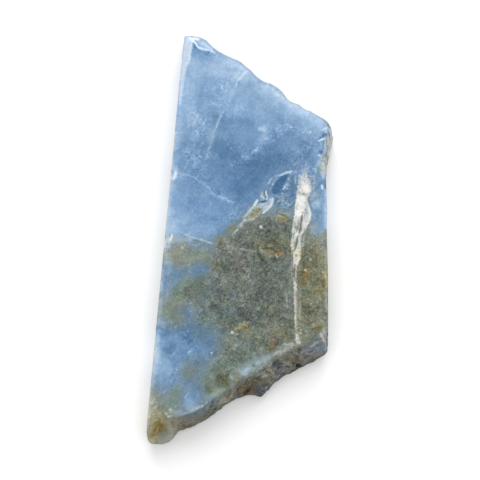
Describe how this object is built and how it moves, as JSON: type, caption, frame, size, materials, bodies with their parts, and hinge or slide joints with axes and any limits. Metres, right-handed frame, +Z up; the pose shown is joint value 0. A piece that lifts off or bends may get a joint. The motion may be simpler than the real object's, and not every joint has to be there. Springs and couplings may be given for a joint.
{
  "type": "blue opal slab",
  "caption": "Sawn slab of rough blue common opal with grey-green matrix, a white vein and a brown natural rind, lying flat on its sawn underside.",
  "frame": {"origin": "centre of the bounding box, on the sawn underside that the slab rests on", "axes": "+Z up through the thickness, from the underside to the sawn top face; +Y along the straight left saw cut, towards the end with the bevelled corner; +X across the width"},
  "size_m": [0.0322, 0.0768, 0.0065],
  "materials": {
    "blue_opal": "satin sawn face, cloudy blue with grey-green matrix, cream vein and rough brown rind"
  },
  "bodies": {
    "root": {"opal_slab": "blue_opal"}
  },
  "joints": []
}
